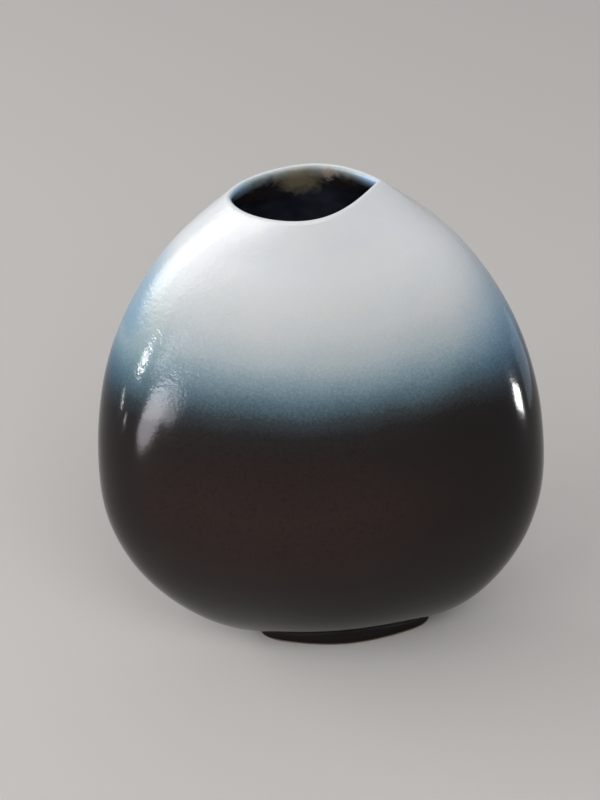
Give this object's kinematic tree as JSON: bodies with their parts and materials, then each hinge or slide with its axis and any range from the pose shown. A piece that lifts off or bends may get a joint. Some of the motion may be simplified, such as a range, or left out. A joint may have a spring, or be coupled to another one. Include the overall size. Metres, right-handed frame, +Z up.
{
  "type": "pillow vase",
  "caption": "Small flattened pillow vase of glazed clay, wide and rounded, with a lens-shaped mouth, a low oval foot ring and a pale glaze fading into a dark one.",
  "frame": {"origin": "on the table, under the middle of the belly's outline, in the plane that the foot stands on", "axes": "+Z up through the mouth; +X to the right as the front is looked at; the front faces -Y, the vase is thinnest along Y"},
  "size_m": [0.125, 0.0548, 0.1488],
  "materials": {
    "clay": "bare fired stoneware",
    "pale_glaze": "satin pale glaze, blue-grey at its lower edge",
    "dark_glaze": "gloss brown-black glaze",
    "liner_glaze": "gloss dark liner glaze"
  },
  "bodies": {
    "root": {"front_half": "clay", "back_half": "clay", "foot_ring": "clay", "pale_glaze": "pale_glaze", "dark_glaze": "dark_glaze", "liner_glaze": "liner_glaze"}
  },
  "joints": []
}
